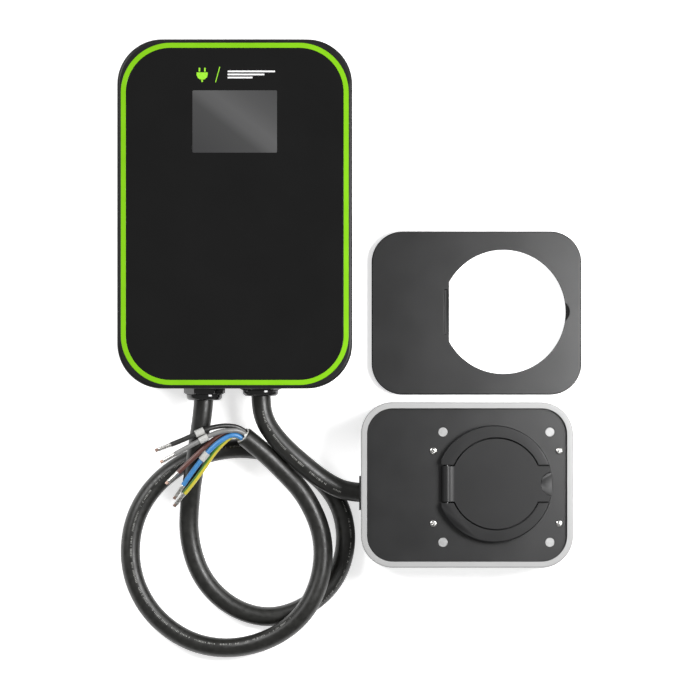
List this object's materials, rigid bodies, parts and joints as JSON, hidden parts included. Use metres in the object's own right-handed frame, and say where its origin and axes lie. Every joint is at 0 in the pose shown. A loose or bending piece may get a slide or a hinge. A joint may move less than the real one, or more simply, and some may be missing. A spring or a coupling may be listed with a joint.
{
  "type": "wall box charger kit",
  "caption": "Wall-mounted vehicle charger laid on its back with a separate hinged-lid socket unit, a loose cover plate, and looped supply cable.",
  "frame": {"origin": "centre of the wall bracket's back face, on the surface that the kit lies on", "axes": "+Y towards the top of the wall box, +X towards the socket unit, +Z out of the front faces"},
  "size_m": [0.3929, 0.5234, 0.09],
  "materials": {
    "black_plastic": "satin black moulded plastic",
    "gloss_black": "polished black front sheet",
    "green_plastic": "bright green moulded insert",
    "smoked_glass": "smoked clear window",
    "lcd": "display panel behind the window",
    "circuit_board": "green lacquered laminate",
    "relay_blue": "moulded relay case",
    "module_white": "moulded module case",
    "terminal_green": "terminal housing",
    "grey_plastic": "light grey moulded housing",
    "satin_black": "satin black plate",
    "gland_plastic": "glossy black polyamide",
    "rubber": "black rubber",
    "cable_jacket": "black cable jacket",
    "core_black": "core insulation",
    "core_grey": "core insulation",
    "core_brown": "core insulation",
    "core_blue": "core insulation",
    "core_earth": "green and yellow core insulation",
    "core_mixed": "assorted core insulation",
    "marker_white": "plain sleeve",
    "tinned_copper": "tinned crimped sleeve",
    "zinc_steel": "zinc plated steel",
    "nickel": "nickel plated",
    "contact_silver": "silver plated brass"
  },
  "bodies": {
    "root": {"wall_bracket": "zinc_steel", "bracket_lock_screw": "zinc_steel", "rear_housing": "black_plastic", "main_gasket": "rubber", "front_housing": "black_plastic", "green_trim": "green_plastic", "front_panel": "gloss_black", "display_window": "smoked_glass", "lcd_module": "lcd", "display_board": "circuit_board", "rfid_antenna": "circuit_board", "housing_screws": "zinc_steel", "control_board": "circuit_board", "power_relays": "relay_blue", "power_supply": "module_white", "leakage_sensor": "module_white", "input_terminals": "terminal_green", "output_terminals": "terminal_green", "board_screws": "zinc_steel", "ribbon_cable": "core_grey", "supply_gland_body": "gland_plastic", "supply_gland_nut": "gland_plastic", "output_gland_body": "gland_plastic", "output_gland_nut": "gland_plastic", "gland_locknuts": "gland_plastic", "gland_seals": "rubber", "supply_cable": "cable_jacket", "output_cable": "cable_jacket", "wire_black": "core_black", "wire_grey": "core_grey", "wire_blue": "core_blue", "wire_earth": "core_earth", "wire_brown": "core_brown", "wire_ferrules": "tinned_copper", "wire_markers": "marker_white", "input_cores": "core_mixed", "output_cores": "core_mixed", "socket_housing": "grey_plastic", "plate_gasket": "rubber", "socket_plate": "satin_black", "plate_screws": "nickel", "magnets": "nickel", "socket_body": "satin_black", "socket_ring_nut": "black_plastic", "contact_carrier": "black_plastic", "power_contacts": "contact_silver", "pilot_contacts": "contact_silver", "hinge_pin": "nickel", "lid_spring": "nickel", "lock_actuator": "black_plastic", "cable_inlet_seal": "rubber", "cable_clamp": "black_plastic", "clamp_screws": "zinc_steel", "socket_cores": "core_mixed"},
    "lid": {"lid": "satin_black", "lid_seal": "rubber"},
    "lock_pin": {"lock_pin": "nickel"},
    "cover_plate": {"cover_plate": "satin_black", "cover_discs": "zinc_steel"}
  },
  "joints": [
    {"name": "lid_hinge", "type": "hinge", "parent": "root", "child": "lid", "pos_m": [0.1793, -0.228, 0.08], "axis": [0, -1, 0], "range_deg": [0, 108], "stiffness_Nm_per_rad": 0.012, "springref_deg": -34.38},
    {"name": "lock_pin_slide", "type": "slide", "parent": "root", "child": "lock_pin", "axis": [0, -1, 0], "range_m": [0, 0.0055]},
    {"name": "cover_lift", "type": "slide", "parent": "root", "child": "cover_plate", "axis": [0, 0, 1], "range_m": [0, 0.12]}
  ]
}
